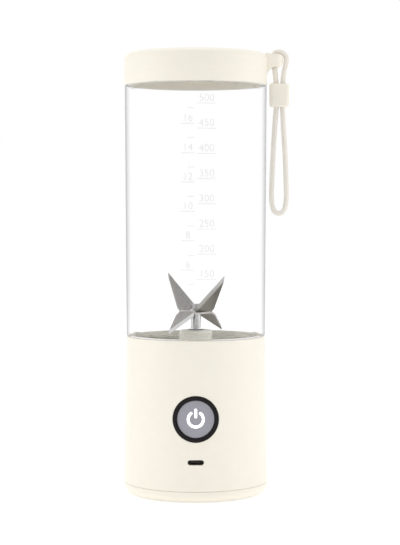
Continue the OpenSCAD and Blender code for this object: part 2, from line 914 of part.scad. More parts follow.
// A round tube along a route; radii gives one radius for each point
module tube(path, radii) {
    n = cord_sides;
    last = len(path) - 1;
    polyhedron(
        [for (i = [0:last]) each tube_ring(path, i, radii[i])],
        concat(
            [[for (k = [0:n - 1]) k]],
            [[for (k = [n - 1:-1:0]) last * n + k]],
            [for (i = [0:last - 1], k = [0:n - 1])
                let (m = (k + 1) % n)
                [i * n + k, (i + 1) * n + k, (i + 1) * n + m, i * n + m]]
        )
    );
}

module strap_arch() {
    color(cream) tube(arch_route, [for (p = arch_route) cord_d / 2]);
}

// The hanging loop; its two tops are domed round the hinge axis
module strap_loop() {
    dome = [[1.2, 0.5], [0.75, 0.85]];
    r = cord_d / 2;
    lead_in = [for (d = dome) [loop_inner[0][0], strap_pivot_z + d[0]]];
    lead_out = [for (d = [dome[1], dome[0]]) [loop_outer[len(loop_outer) - 1][0], strap_pivot_z + d[0]]];
    route = concat(lead_in, loop_inner, loop_turn, loop_outer, lead_out);
    count = len(loop_inner) + len(loop_turn) + len(loop_outer);
    color(cream) tube(route, concat(
        [for (d = dome) r * d[1]],
        [for (i = [1:count]) r],
        [for (d = [dome[1], dome[0]]) r * d[1]]
    ));
}

module strap_slider() {
    slot_w = 7.4;
    slot_h = 3.3;
    corner = 2;
    color(cream) translate([strap_pivot_x - 0.1, 0, 205.8]) difference() {
        linear_extrude(slider_h) union() {
            square([slider_w - 2 * corner, slider_d], center = true);
            square([slider_w, slider_d - 2 * corner], center = true);
            for (sx = [-1, 1], sy = [-1, 1])
                translate([sx * (slider_w / 2 - corner), sy * (slider_d / 2 - corner)])
                    circle(r = corner);
        }
        translate([0, 0, -1]) stadium(slot_w, slot_h, slider_h + 2);
    }
}

// ---- nodes ----

foot_pad();
base_cover();
cover_screws();
base_housing();
jar_socket();
placed_blade_hub();  // blade_hub
hub_screws();
lower_bearing();
upper_bearing();
shaft_seal();
motor_can();
motor_end_bell();
motor_magnets();
motor_brushes();
motor_front_bush();
motor_rear_bush();
motor_screws();
motor_leads();
battery_cells();
battery_cradle();
battery_tabs();
battery_leads();
main_board();
board_components();
tact_switch();
status_lights();
charge_board();
usb_receptacle();
board_screws();
button_bezel();
power_button();
switch_plunger();
drive_shaft();
armature_core();
armature_windings();
commutator();
blade_spacer();
lower_blade();
upper_blade();
blade_washer();
blade_nut();
jar_gasket();
jar();
lid_seal();
lid();
strap_arch();
strap_loop();
strap_slider();
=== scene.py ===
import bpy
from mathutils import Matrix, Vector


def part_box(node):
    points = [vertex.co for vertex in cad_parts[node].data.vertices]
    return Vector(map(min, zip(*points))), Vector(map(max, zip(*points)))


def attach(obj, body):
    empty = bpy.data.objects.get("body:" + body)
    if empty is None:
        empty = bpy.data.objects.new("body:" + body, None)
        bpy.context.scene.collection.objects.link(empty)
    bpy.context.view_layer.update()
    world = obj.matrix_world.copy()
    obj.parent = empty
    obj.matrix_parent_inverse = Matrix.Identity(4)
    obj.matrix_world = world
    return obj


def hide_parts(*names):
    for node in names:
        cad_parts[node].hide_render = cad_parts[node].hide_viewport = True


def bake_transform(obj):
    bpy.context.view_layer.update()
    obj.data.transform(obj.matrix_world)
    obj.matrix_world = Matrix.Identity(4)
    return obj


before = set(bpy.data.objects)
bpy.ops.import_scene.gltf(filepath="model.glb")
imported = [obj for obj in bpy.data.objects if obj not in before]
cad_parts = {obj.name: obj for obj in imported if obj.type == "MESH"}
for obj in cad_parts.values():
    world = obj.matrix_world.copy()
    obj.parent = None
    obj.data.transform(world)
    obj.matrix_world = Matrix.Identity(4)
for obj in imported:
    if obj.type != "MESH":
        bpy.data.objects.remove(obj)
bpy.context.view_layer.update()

import math

import bpy
from mathutils import Vector

# ---------------------------------------------------------------- camera
# A long lens, level with the middle of the jar, looks straight at the button.
# The lens is raised by shift alone, so that the upright sides stay upright.

CAMERA_DISTANCE = 0.854
CAMERA_HEIGHT = 0.1534

bpy.ops.object.camera_add(location=(0, -CAMERA_DISTANCE, CAMERA_HEIGHT), rotation=(math.pi / 2, 0, 0))
camera = bpy.context.object
camera.name = "camera"
camera.data.sensor_width = 36
camera.data.lens = 105.2
camera.data.shift_x = 0.0078
camera.data.shift_y = -0.1244
camera.data.clip_end = 20
bpy.context.scene.camera = camera

# ---------------------------------------------------------------- carry strap
# One loop of soft silicone cord, threaded through the lid's lug and back on itself.
# It hangs from the lug's bar.
# Its route is a list of (x, z) points in millimetres.

CORD_RADIUS = 0.0014
STRAP_ROUTE = [
    (42.0, 231.2), (42.2, 228.5), (42.5, 225.2), (42.9, 221), (43.1, 217), (43.2, 212),
    (43.2, 206), (42.6, 198), (41.9, 188), (41.4, 179), (40.9, 168), (40.6, 158),
    (41.0, 153), (42.3, 149.8), (44.6, 148.7), (46.9, 149.8), (48.2, 153), (48.6, 158),
    (48.4, 168), (48.0, 179), (47.5, 188), (46.9, 198), (46.6, 206), (46.6, 212),
    (46.7, 217), (47.0, 221), (47.6, 225.2), (48.2, 227.5), (48.7, 230.5), (48.3, 233.1),
    (46.8, 234.9), (45.1, 235.4), (43.0, 235.3), (42.0, 233.9), (42.0, 231.4),
]


def deselect():
    if bpy.context.object and bpy.context.object.mode != "OBJECT":
        bpy.ops.object.mode_set(mode="OBJECT")
    bpy.ops.object.select_all(action="DESELECT")


def pick(piece):
    deselect()
    piece.select_set(True)
    bpy.context.view_layer.objects.active = piece
    return piece


def arc(centre_r, centre_z, radius, start, end, steps):
    """Points of an arc, with angles in degrees from the outward direction."""
    angles = [math.radians(start + (end - start) * i / steps) for i in range(steps + 1)]
    return [(centre_r + radius * math.cos(a), centre_z + radius * math.sin(a)) for a in angles]


def drawn(name, outline):
    """A closed wire through (x, z) points, drawn point by point from a plane merged to one vertex."""
    deselect()
    bpy.ops.mesh.primitive_plane_add(size=0.001)
    piece = bpy.context.object
    piece.name = name
    bpy.ops.object.mode_set(mode="EDIT")
    bpy.ops.mesh.select_mode(type="VERT")
    bpy.ops.mesh.select_all(action="SELECT")
    bpy.ops.mesh.merge(type="CENTER")
    bpy.ops.transform.translate(value=(outline[0][0], 0, outline[0][1]))
    for (x0, z0), (x1, z1) in zip(outline, outline[1:] + outline[:1]):
        bpy.ops.mesh.extrude_vertices_move(TRANSFORM_OT_translate={"value": (x1 - x0, 0, z1 - z0)})
    bpy.ops.mesh.select_all(action="SELECT")
    bpy.ops.mesh.remove_doubles(threshold=1e-7)
    return piece


def settle(piece):
    """Bakes the object's own place, turn and size into its mesh."""
    pick(piece)
    bpy.ops.object.transform_apply(location=True, rotation=True, scale=True)
    return piece


def cut(piece, tool, operation="DIFFERENCE"):
    """Cuts one piece with another, or joins or intersects them, and uses up the tool."""
    pick(piece)
    modifier = piece.modifiers.new("cut", "BOOLEAN")
    modifier.operation = operation
    modifier.solver = "EXACT"
    modifier.object = tool
    bpy.ops.object.modifier_apply(modifier=modifier.name)
    bpy.data.objects.remove(tool)
    return piece


def smooth(piece, degrees=35):
    pick(piece)
    bpy.ops.object.shade_smooth_by_angle(angle=math.radians(degrees))
    return piece


def rounded(piece, width, degrees=40, segments=3):
    """Breaks every edge that is sharper than the given angle."""
    pick(piece)
    modifier = piece.modifiers.new("round", "BEVEL")
    modifier.width = width
    modifier.segments = segments
    modifier.limit_method = "ANGLE"
    modifier.angle_limit = math.radians(degrees)
    modifier.use_clamp_overlap = True
    modifier.harden_normals = False
    bpy.ops.object.modifier_apply(modifier=modifier.name)
    return piece


def plate(name, outline, front, back):
    """A slab between two depths from a closed outline of (x, z) points."""
    piece = drawn(name, outline)
    bpy.ops.mesh.select_all(action="SELECT")
    bpy.ops.mesh.edge_face_add()
    bpy.ops.transform.translate(value=(0, front, 0))
    bpy.ops.mesh.extrude_region_move(TRANSFORM_OT_translate={"value": (0, back - front, 0)})
    bpy.ops.mesh.select_all(action="SELECT")
    bpy.ops.mesh.normals_make_consistent(inside=False)
    bpy.ops.object.mode_set(mode="OBJECT")
    return piece


def stadium(width, height, z):
    """The outline of a slot with round ends."""
    half = (width - height) / 2
    return arc(half, z, height / 2, -90, 90, 12) + arc(-half, z, height / 2, 90, 270, 12)


def smooth_line(points, steps):
    """The points of a curve that passes through every given point, with no kinks."""
    line = []
    last = len(points) - 1
    for i in range(last):
        before, start, end, after = (points[min(max(k, 0), last)] for k in (i - 1, i, i + 1, i + 2))
        for step in range(steps):
            t = step / steps
            line.append(
                0.5 * (2 * start + (end - before) * t
                       + (2 * before - 5 * start + 4 * end - after) * t ** 2
                       + (3 * start - before - 3 * end + after) * t ** 3))
    line.append(points[last])
    return line


def new_material(name, colour, roughness, **settings):
    """A material with its shader's constant values set on the shader's own sockets."""
    material = bpy.data.materials.new(name)
    material.use_nodes = True
    shader = material.node_tree.nodes["Principled BSDF"]
    shader.inputs["Base Color"].default_value = (*colour, 1)
    shader.inputs["Roughness"].default_value = roughness
    for socket, value in settings.items():
        shader.inputs[socket.replace("_", " ")].default_value = value
    return material


def add_node(material, kind, **values):
    """A node of that kind, with its attributes set, or its sockets where it has no such attribute."""
    node = material.node_tree.nodes.new(kind)
    for key, value in values.items():
        if hasattr(node, key):
            setattr(node, key, value)
        else:
            node.inputs[key.replace("_", " ")].default_value = value
    return node


def link(material, source, output, target, socket):
    material.node_tree.links.new(source.outputs[output], target.inputs[socket])


def shader_of(material):
    return material.node_tree.nodes["Principled BSDF"]


def grained(material, scale, bump, spread=0.0, stretch=(1, 1, 1), detail=4.0):
    """Adds a fine grain: a bump from noise, and a spread of roughness round the shader's own."""
    place = add_node(material, "ShaderNodeTexCoord")
    turn = add_node(material, "ShaderNodeMapping", Scale=stretch)
    noise = add_node(material, "ShaderNodeTexNoise", Scale=scale, Detail=detail)
    link(material, place, "Object", turn, "Vector")
    link(material, turn, "Vector", noise, "Vector")
    relief = add_node(material, "ShaderNodeBump", Strength=1.0, Distance=bump)
    link(material, noise, "Fac", relief, "Height")
    link(material, relief, "Normal", shader_of(material), "Normal")
    if spread:
        middle = shader_of(material).inputs["Roughness"].default_value
        ranged = add_node(material, "ShaderNodeMapRange")
        ranged.inputs["To Min"].default_value = middle - spread
        ranged.inputs["To Max"].default_value = middle + spread
        link(material, noise, "Fac", ranged, "Value")
        link(material, ranged, "Result", shader_of(material), "Roughness")
    return noise


def tinted(material, noise, low, high):
    """Colours the material from low to high by a noise."""
    ramp = add_node(material, "ShaderNodeValToRGB")
    ramp.color_ramp.elements[0].position = 0.3
    ramp.color_ramp.elements[0].color = (*low, 1)
    ramp.color_ramp.elements[1].position = 0.7
    ramp.color_ramp.elements[1].color = (*high, 1)
    link(material, noise, "Fac", ramp, "Fac")
    link(material, ramp, "Color", shader_of(material), "Base Color")
    return ramp


def finish_piece(piece, body, material):
    """Gives a modelled piece its finish and the body that it moves with."""
    piece.data.materials.clear()
    piece.data.materials.append(material)
    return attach(piece, body)


strap_line = smooth_line([Vector((x / 1000, 0, z / 1000)) for x, z in STRAP_ROUTE], 6)

deselect()
bpy.ops.curve.primitive_nurbs_path_add()
strap = bpy.context.object
strap.name = "carry_strap"
strap.data.splines.clear()
spline = strap.data.splines.new("POLY")
spline.points.add(len(strap_line) - 1)
for point, place in zip(spline.points, strap_line):
    point.co = (*place, 1)
strap.data.dimensions = "3D"
strap.data.twist_mode = "MINIMUM"
strap.data.bevel_depth = CORD_RADIUS
strap.data.bevel_resolution = 6
strap.data.use_fill_caps = True
bpy.ops.object.convert(target="MESH")
strap = bpy.context.object
bpy.ops.object.shade_smooth_by_angle(angle=math.radians(50))

strap_rubber = new_material("strap_silicone", (0.84, 0.80, 0.735), 0.55, Specular_IOR_Level=0.4)
noise = grained(strap_rubber, 900, 0.00004, spread=0.08)
tinted(strap_rubber, noise, (0.82, 0.78, 0.71), (0.86, 0.82, 0.755))
strap.data.materials.clear()
strap.data.materials.append(strap_rubber)
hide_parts("strap_loop", "strap_arch")
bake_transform(strap)

# ---------------------------------------------------------------- strap slider
# A rounded moulded block with one long slot, which both strands of the strap pass
# through. It grips them lightly and is pushed down to close the loop.

SLIDER_BOTTOM, SLIDER_TOP = (corner.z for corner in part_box("strap_slider"))
SLIDER_X = sum(corner.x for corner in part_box("strap_slider")) / 2
SLIDER_WIDTH = 0.0106
SLIDER_DEPTH = 0.0066
SLIDER_CORNER = 0.0020
SLIDER_EDGE = 0.0011
SLOT_WIDTH = 0.0074
SLOT_DEPTH = 0.0033
SLOT_EDGE = 0.00035
OVERRUN = 0.001


def upright(name, outline, bottom, top):
    """A column between two heights from a closed outline of (x, y) points."""
    piece = plate(name, [(x, -y) for x, y in outline], bottom, top)
    piece.rotation_euler = (math.pi / 2, 0, 0)
    return settle(piece)


half_x, half_y = SLIDER_WIDTH / 2 - SLIDER_CORNER, SLIDER_DEPTH / 2 - SLIDER_CORNER
corners = [(half_x, half_y), (-half_x, half_y), (-half_x, -half_y), (half_x, -half_y)]
block_outline = []
for quarter, (x, y) in enumerate(corners):
    block_outline += arc(x, y, SLIDER_CORNER, 90 * quarter, 90 * quarter + 90, 8)
block_outline = [(SLIDER_X + x, y) for x, y in block_outline]
slot_outline = [(SLIDER_X + x, y) for x, y in stadium(SLOT_WIDTH, SLOT_DEPTH, 0)]
slider = upright("cord_slider", block_outline, SLIDER_BOTTOM, SLIDER_TOP)
rounded(slider, SLIDER_EDGE, 60, 5)
cut(slider, upright("slider_slot", slot_outline, SLIDER_BOTTOM - OVERRUN, SLIDER_TOP + OVERRUN))
rounded(slider, SLOT_EDGE, 50, 2)
smooth(slider, 40)

CREAM = (0.905, 0.862, 0.762)
CREAM_DEEP = (0.893, 0.848, 0.745)
cream_plastic = new_material("cream_plastic", CREAM, 0.42, Specular_IOR_Level=0.42)
grained(cream_plastic, 2600, 0.000006, spread=0.05)
broad = add_node(cream_plastic, "ShaderNodeTexNoise", Scale=14, Detail=2)
tinted(cream_plastic, broad, CREAM_DEEP, CREAM)
finish_piece(slider, "slider", cream_plastic)
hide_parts("strap_slider")

# ---------------------------------------------------------------- floor and light
# A pale sweep that rises behind the blender with no edge, a wide soft box on each side,
# weaker ones above the camera and above the lid, and an even white surround.

SWEEP_BACK = 1.6
SWEEP_RADIUS = 0.8
SWEEP_HALF_WIDTH = 4.0
SWEEP_RISE = 2.5
SWEEP_GLOW = 0.31
SURROUND_STRENGTH = 0.565
MIDDLE = (0, 0, 0.12)

deselect()
bpy.ops.mesh.primitive_plane_add(size=1, location=(0, 0, 0))
sweep = bpy.context.object
sweep.name = "sweep"
bpy.ops.object.mode_set(mode="EDIT")
bpy.ops.transform.resize(value=(2 * SWEEP_HALF_WIDTH, 2 * SWEEP_BACK, 1))
bpy.ops.mesh.select_mode(type="EDGE")
bpy.ops.mesh.select_all(action="DESELECT")
bpy.ops.object.mode_set(mode="OBJECT")
for edge in sweep.data.edges:
    edge.select = all(sweep.data.vertices[v].co.y > 0 for v in edge.vertices)
bpy.ops.object.mode_set(mode="EDIT")
bpy.ops.mesh.spin(steps=24, angle=-math.pi / 2, center=(0, SWEEP_BACK, SWEEP_RADIUS), axis=(1, 0, 0))
bpy.ops.mesh.extrude_region_move(TRANSFORM_OT_translate={"value": (0, 0, SWEEP_RISE)})
bpy.ops.object.mode_set(mode="OBJECT")
bpy.ops.object.shade_smooth()
sweep_paper = new_material("sweep_paper", (0.93, 0.93, 0.93), 0.9, Emission_Color=(1, 1, 1, 1),
                           Emission_Strength=SWEEP_GLOW)
grained(sweep_paper, 60, 0.0002)
sweep.data.materials.append(sweep_paper)


def soft_box(name, place, aim, width, height, watts):
    """A rectangular soft light that faces a point."""
    bpy.ops.object.light_add(type="AREA", location=place)
    box = bpy.context.object
    box.name = name
    box.data.shape = "RECTANGLE"
    box.data.size = width
    box.data.size_y = height
    box.data.energy = watts
    box.rotation_euler = (Vector(aim) - Vector(place)).to_track_quat("-Z", "Y").to_euler()


soft_box("soft_box_left", (-1.1, -0.10, 0.55), MIDDLE, 0.9, 1.3, 3.2)
soft_box("soft_box_right", (1.1, -0.05, 0.5), MIDDLE, 0.8, 1.3, 3.4)
soft_box("soft_box_front", (-0.25, -1.5, 1.2), MIDDLE, 1.2, 0.8, 2.2)
soft_box("soft_box_above", (0, 0.05, 1.1), MIDDLE, 0.9, 0.9, 3.5)

world = bpy.data.worlds.new("surround")
bpy.context.scene.world = world
world.use_nodes = True
world.node_tree.nodes["Background"].inputs["Color"].default_value = (1, 1, 1, 1)
world.node_tree.nodes["Background"].inputs["Strength"].default_value = SURROUND_STRENGTH
bpy.context.scene.view_settings.view_transform = "Standard"

# ---------------------------------------------------------------- base cover
# The moulded dish under the base: a rounded bottom edge, a seam groove at its top, and
# four recesses for the screws that hold it to the housing.

FOOT_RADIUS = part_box("base_cover")[1].x
COVER_TOP = 0.006
COVER_BOTTOM = 0.0005
COVER_ROUND = 0.004
PLATE_TOP = 0.0025
LIP_OUT = 0.0349
LIP_IN = 0.0337
LIP_TOP = 0.009
SEAM_ROUND = 0.00025
PAD_RECESS_RADIUS = 0.0276
PAD_RECESS_DEPTH = 0.0008
SCREW_CIRCLE = 0.031
SCREW_ANGLES = (55, 125, 235, 305)
SCREW_RECESS_RADIUS = 0.0023
SCREW_RECESS_DEPTH = 0.0024
SCREW_RECESS_MIDDLE = 0.001
SEGMENTS = 192


def turned(name, outline, steps=SEGMENTS):
    """A ring or solid turned about Z from a closed outline of (radius, height) points."""
    piece = drawn(name, outline)
    bpy.ops.mesh.select_all(action="SELECT")
    bpy.ops.mesh.spin(steps=steps, angle=2 * math.pi, center=(0, 0, 0), axis=(0, 0, 1))
    bpy.ops.mesh.select_all(action="SELECT")
    bpy.ops.mesh.remove_doubles(threshold=1e-6)
    bpy.ops.mesh.normals_make_consistent(inside=False)
    bpy.ops.object.mode_set(mode="OBJECT")
    return piece


def polar(radius, degrees, height):
    """A point at an angle round Z."""
    angle = math.radians(degrees)
    return (radius * math.cos(angle), radius * math.sin(angle), height)


def rod_tool(radius, depth, place, turn=(0, 0, 0), sides=64):
    """A cylinder to cut or to join with."""
    deselect()
    bpy.ops.mesh.primitive_cylinder_add(vertices=sides, radius=radius, depth=depth, location=place,
                                        rotation=turn)
    return settle(bpy.context.object)


cover_outline = (
    arc(FOOT_RADIUS - COVER_ROUND, COVER_BOTTOM + COVER_ROUND, COVER_ROUND, -90, 0, 10)
    + arc(FOOT_RADIUS - SEAM_ROUND, COVER_TOP - SEAM_ROUND, SEAM_ROUND, 0, 90, 3)
    + [(LIP_OUT, COVER_TOP), (LIP_OUT, LIP_TOP), (LIP_IN, LIP_TOP), (LIP_IN, PLATE_TOP), (0, PLATE_TOP),
       (0, COVER_BOTTOM + PAD_RECESS_DEPTH), (PAD_RECESS_RADIUS, COVER_BOTTOM + PAD_RECESS_DEPTH),
       (PAD_RECESS_RADIUS, COVER_BOTTOM)])
base_cover = turned("bottom_cover", cover_outline)
for angle in SCREW_ANGLES:
    place = polar(SCREW_CIRCLE, angle, SCREW_RECESS_MIDDLE)
    cut(base_cover, rod_tool(SCREW_RECESS_RADIUS, SCREW_RECESS_DEPTH, place, sides=32))
smooth(base_cover)

finish_piece(base_cover, "base", cream_plastic)
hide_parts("base_cover")

# ---------------------------------------------------------------- base housing
# The tapered cup that holds the motor and the cells, moulded in one piece with a softly
# rounded rim. It is bored for the button's ring and slotted for the charging port.

HOUSING_BOTTOM, HOUSING_TOP = (corner.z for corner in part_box("base_housing"))
RIM_RADIUS = 0.037
HOUSING_WALL = 0.002
RIM_ROUND = 0.0006
BUTTON_Z = sum(corner.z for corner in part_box("power_button")) / 2
PORT_Z = sum(corner.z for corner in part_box("usb_receptacle")) / 2
BEZEL_RADIUS = 0.01195
PORT_WIDTH = 0.0085
PORT_HEIGHT = 0.0027
BEZEL_GAP = 0.00004
BORE_LENGTH = 0.02
BORE_MIDDLE = -0.038
PORT_CUT = (-0.045, -0.03)
WALL_ROWS = 56


def base_radius(height):
    """The housing's outer radius at a height."""
    share = (height - HOUSING_BOTTOM) / (HOUSING_TOP - HOUSING_BOTTOM)
    return FOOT_RADIUS + (RIM_RADIUS - FOOT_RADIUS) * share


wall_height = HOUSING_TOP - RIM_ROUND - HOUSING_BOTTOM
rows = [HOUSING_BOTTOM + wall_height * i / WALL_ROWS for i in range(1, WALL_ROWS)]
housing_outline = (
    arc(FOOT_RADIUS - SEAM_ROUND, HOUSING_BOTTOM + SEAM_ROUND, SEAM_ROUND, -90, 0, 3)
    + [(base_radius(z), z) for z in rows]
    + arc(RIM_RADIUS - RIM_ROUND, HOUSING_TOP - RIM_ROUND, RIM_ROUND, 0, 90, 5)
    + [(RIM_RADIUS - HOUSING_WALL, HOUSING_TOP), (FOOT_RADIUS - HOUSING_WALL, HOUSING_BOTTOM)])
housing = turned("base_shell", housing_outline)
facing_front = (math.pi / 2, 0, 0)
bore_place = (0, BORE_MIDDLE, BUTTON_Z)
cut(housing, rod_tool(BEZEL_RADIUS + BEZEL_GAP, BORE_LENGTH, bore_place, facing_front, 96))
cut(housing, plate("port_tool", stadium(PORT_WIDTH, PORT_HEIGHT, PORT_Z), *PORT_CUT))
smooth(housing, 30)
finish_piece(housing, "base", cream_plastic)
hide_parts("base_housing")

# ---------------------------------------------------------------- button ring
# A gloss black ring that snaps into the housing's bore and follows the wall's curve. Its
# inner edge slopes in towards the button.

BUTTON_RADIUS = 0.00965
RING_PROUD = 0.0003
RING_DEPTH = 0.0035
RING_EDGE = 0.0004
RING_INNER_EDGE = 0.0003
RING_SLOPE_WIDTH = 0.0007
RING_SLOPE_END = -0.0006
BUTTON_GAP = 0.00008


def lay_on_wall(piece, height, radius_at, sink=0.0):
    """Stands a flat piece, drawn round Z, on the front wall: its +Z points out of the wall."""
    piece.rotation_euler = facing_front
    piece.location = (0, 0, height)
    settle(piece)
    for vertex in piece.data.vertices:
        radius = radius_at(vertex.co.z) - sink
        vertex.co.y -= math.sqrt(radius ** 2 - vertex.co.x ** 2)
    return piece


ring_outline = (
    [(BEZEL_RADIUS, -RING_DEPTH)]
    + arc(BEZEL_RADIUS - RING_EDGE, RING_PROUD - RING_EDGE, RING_EDGE, 0, 90, 5)
    + arc(BUTTON_RADIUS + RING_SLOPE_WIDTH, RING_PROUD - RING_INNER_EDGE, RING_INNER_EDGE, 90, 150, 4)
    + [(BUTTON_RADIUS + BUTTON_GAP, RING_SLOPE_END), (BUTTON_RADIUS + BUTTON_GAP, -RING_DEPTH)])
button_ring = turned("button_ring", ring_outline, 128)
lay_on_wall(button_ring, BUTTON_Z, base_radius)
smooth(button_ring)
ring_black = new_material("ring_black", (0.012, 0.010, 0.010), 0.35, Specular_IOR_Level=0.14)
grained(ring_black, 3000, 0.000005, spread=0.06)
finish_piece(button_ring, "base", ring_black)
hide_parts("button_bezel")

# ---------------------------------------------------------------- power button
# A translucent grey cap with a stem that presses the switch behind it. It follows the
# wall's curve, a little below the ring, and a plain power sign is lit through it.

CAP_SINK = 0.00035
CAP_DEPTH = 0.0042
CAP_EDGE = 0.0004
CAP_BACK = -0.0322
STEM_RADIUS = 0.002
STEM_GAP = 0.0001
STEM_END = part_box("power_button")[1].y
SIGN_RADIUS = 0.0039
SIGN_STROKE = 0.00145
SIGN_GAP = 38
SIGN_LIFT = 0.00006
SIGN_THICKNESS = 0.0001
BAR_MIDDLE = 0.78
BAR_HALF = 0.45

rings = [BUTTON_RADIUS * share for share in (0.9, 0.8, 0.68, 0.56, 0.44, 0.32, 0.2, 0.1)]
cap_outline = (
    [(BUTTON_RADIUS, -CAP_DEPTH)]
    + arc(BUTTON_RADIUS - CAP_EDGE, -CAP_EDGE, CAP_EDGE, 0, 90, 5)
    + [(r, 0) for r in rings] + [(0, 0), (0, -CAP_DEPTH)])
button_cap = turned("button_cap", cap_outline, 128)
lay_on_wall(button_cap, BUTTON_Z, base_radius, CAP_SINK)
stem_place = (0, (STEM_END + CAP_BACK) / 2, BUTTON_Z)
stem = rod_tool(STEM_RADIUS, STEM_END - CAP_BACK - STEM_GAP, stem_place, facing_front, 32)
cut(button_cap, stem, "UNION")
smooth(button_cap)
cap_grey = new_material("cap_grey", (0.33, 0.325, 0.37), 0.4, Specular_IOR_Level=0.5)
noise = grained(cap_grey, 2200, 0.000008, spread=0.05)
tinted(cap_grey, noise, (0.30, 0.295, 0.335), (0.35, 0.345, 0.39))
finish_piece(button_cap, "button", cap_grey)
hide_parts("power_button")


def stroke_arc(name, radius, stroke, start, end, thickness):
    """A flat band along an arc, with round ends, lying on Z = 0."""
    band = drawn(name, [(radius - stroke / 2, 0), (radius + stroke / 2, 0),
                        (radius + stroke / 2, thickness), (radius - stroke / 2, thickness)])
    bpy.ops.mesh.select_all(action="SELECT")
    bpy.ops.mesh.edge_face_add()
    bpy.ops.mesh.spin(steps=48, angle=-math.radians(end - start), center=(0, 0, 0), axis=(0, 0, 1))
    bpy.ops.mesh.select_all(action="SELECT")
    bpy.ops.mesh.remove_doubles(threshold=1e-7)
    bpy.ops.mesh.normals_make_consistent(inside=False)
    bpy.ops.object.mode_set(mode="OBJECT")
    band.rotation_euler = (0, 0, math.radians(start))
    settle(band)
    for angle in (start, end):
        end_disc = rod_tool(stroke / 2, thickness, polar(radius, angle, thickness / 2), sides=24)
        cut(band, end_disc, "UNION")
    return band


sign = stroke_arc("power_sign", SIGN_RADIUS, SIGN_STROKE, 90 + SIGN_GAP, 450 - SIGN_GAP, SIGN_THICKNESS)
deselect()
bpy.ops.mesh.primitive_cube_add(size=1, location=(0, SIGN_RADIUS * BAR_MIDDLE, SIGN_THICKNESS / 2),
                                scale=(SIGN_STROKE, SIGN_RADIUS * 2 * BAR_HALF, SIGN_THICKNESS))
bar = settle(bpy.context.object)
for end in (-BAR_HALF, BAR_HALF):
    place = (0, SIGN_RADIUS * (BAR_MIDDLE + end), SIGN_THICKNESS / 2)
    cut(bar, rod_tool(SIGN_STROKE / 2, SIGN_THICKNESS, place, sides=24), "UNION")
pick(sign)
bar.select_set(True)
bpy.ops.object.join()
lay_on_wall(sign, BUTTON_Z, base_radius, CAP_SINK - SIGN_LIFT)
smooth(sign)
sign_light = new_material("sign_light", (0.95, 0.95, 0.97), 0.5, Emission_Color=(1, 1, 1, 1),
                          Emission_Strength=0.75)
grained(sign_light, 2000, 0.000004)
finish_piece(sign, "button", sign_light)

# ---------------------------------------------------------------- charging port
# The pressed steel shell of a standard receptacle with its contact tongue, set just
# behind the housing's slot, which is as wide as its mouth.

PORT_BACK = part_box("usb_receptacle")[1].y
PORT_FRONT = -0.03585
SHELL_WIDTH = 0.00894
SHELL_HEIGHT = 0.00326
SHELL_WALL = 0.0003
SHELL_BACK = 0.0002
TONGUE_WIDTH = 0.0066
TONGUE_HEIGHT = 0.0007
TONGUE_SETBACK = 0.0007
TONGUE_ROUND = 0.00012

port = plate("port_shell", stadium(SHELL_WIDTH, SHELL_HEIGHT, PORT_Z), PORT_FRONT, PORT_BACK)
mouth = stadium(SHELL_WIDTH - 2 * SHELL_WALL, SHELL_HEIGHT - 2 * SHELL_WALL, PORT_Z)
hollow = plate("port_hollow", mouth, PORT_FRONT - OVERRUN, PORT_BACK - SHELL_BACK)
cut(port, hollow)
smooth(port)
port_metal = new_material("port_metal", (0.16, 0.145, 0.135), 0.34, Metallic=1.0)
grained(port_metal, 1800, 0.000004, spread=0.08)
finish_piece(port, "base", port_metal)
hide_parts("usb_receptacle")

tongue_length = PORT_BACK - PORT_FRONT - TONGUE_SETBACK - SHELL_BACK
deselect()
bpy.ops.mesh.primitive_cube_add(size=1, location=(0, (PORT_FRONT + TONGUE_SETBACK + PORT_BACK) / 2, PORT_Z),
                                scale=(TONGUE_WIDTH, tongue_length, TONGUE_HEIGHT))
tongue = settle(bpy.context.object)
tongue.name = "port_tongue"
rounded(tongue, TONGUE_ROUND)
smooth(tongue)
tongue_plastic = new_material("tongue_plastic", (0.035, 0.030, 0.028), 0.5)
grained(tongue_plastic, 2500, 0.000006, spread=0.05)
finish_piece(tongue, "base", tongue_plastic)

# ---------------------------------------------------------------- jar
# A clear moulded tube with a threaded neck at each end, flush with the base and the lid.
# Its walls are polished, so only its edges and shoulders show; the outer wall's colour is painted grey
# where it is seen at a slant, a painted shade along its edges.

JAR_BOTTOM, JAR_END = (corner.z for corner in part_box("jar"))
JAR_TOP_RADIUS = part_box("jar")[1].x
JAR_SHOULDER = 0.0837
JAR_TOP_SHOULDER = 0.2171
JAR_WALL = 0.0022
JAR_ROUND = 0.0006
JAR_TOP_ROUND = 0.0005
SHOULDER_INNER = 0.0014
SHOULDER_MIDDLE = 0.0020
SHOULDER_OUTER = 0.0028
NECK_WALL = 0.0019
LOWER_NECK = 0.0320
UPPER_NECK = 0.03525
THREAD_LEAD = 0.016
THREAD_DEPTH = 0.0012
THREAD_BAND = 0.0016
THREAD_CREST = 0.00088
LUG_ARC = 30
LUG_ROOT = 0.0005
SOCKET_MALE_Z = 0.07771
LID_MALE_Z = 0.2256
SOCKET_MALE_START = 14
LID_MALE_START = 20


